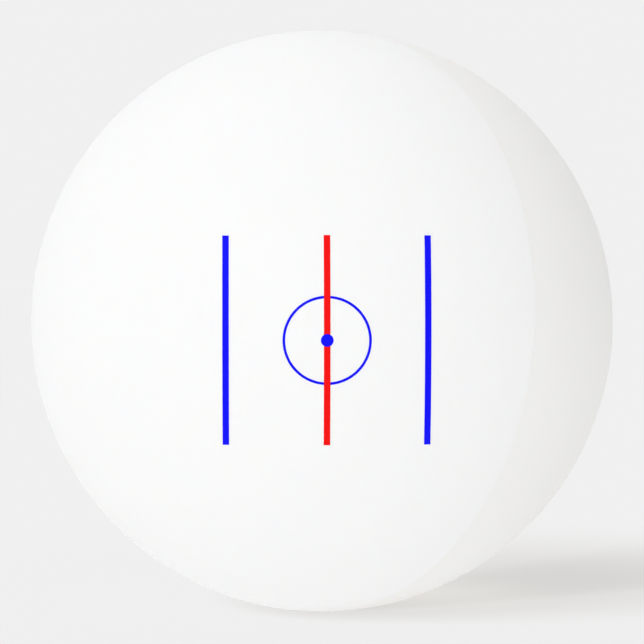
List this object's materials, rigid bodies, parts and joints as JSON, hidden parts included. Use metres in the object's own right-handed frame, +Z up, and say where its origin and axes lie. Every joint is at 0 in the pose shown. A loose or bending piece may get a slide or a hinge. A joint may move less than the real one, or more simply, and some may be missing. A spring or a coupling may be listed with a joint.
{
  "type": "table tennis ball",
  "caption": "White hollow table tennis ball made of two thin half shells cemented at a lap seam, with printed upright lines, a circle and a dot on one side.",
  "frame": {"origin": "centre of the ball", "axes": "-Y out through the middle of the printed marks, +Z up along the printed lines, +X to the right as the print is seen"},
  "size_m": [0.04, 0.04, 0.04],
  "materials": {
    "front_shell_plastic": "matte",
    "rear_shell_plastic": "matte",
    "cement": "satin",
    "blue_ink": "satin",
    "red_ink": "satin"
  },
  "bodies": {
    "root": {"printed_half_shell": "front_shell_plastic", "plain_half_shell": "rear_shell_plastic", "seam_cement": "cement", "left_line_ink": "blue_ink", "right_line_ink": "blue_ink", "centre_line_ink": "red_ink", "circle_ink": "blue_ink", "centre_dot_ink": "blue_ink"}
  },
  "joints": []
}
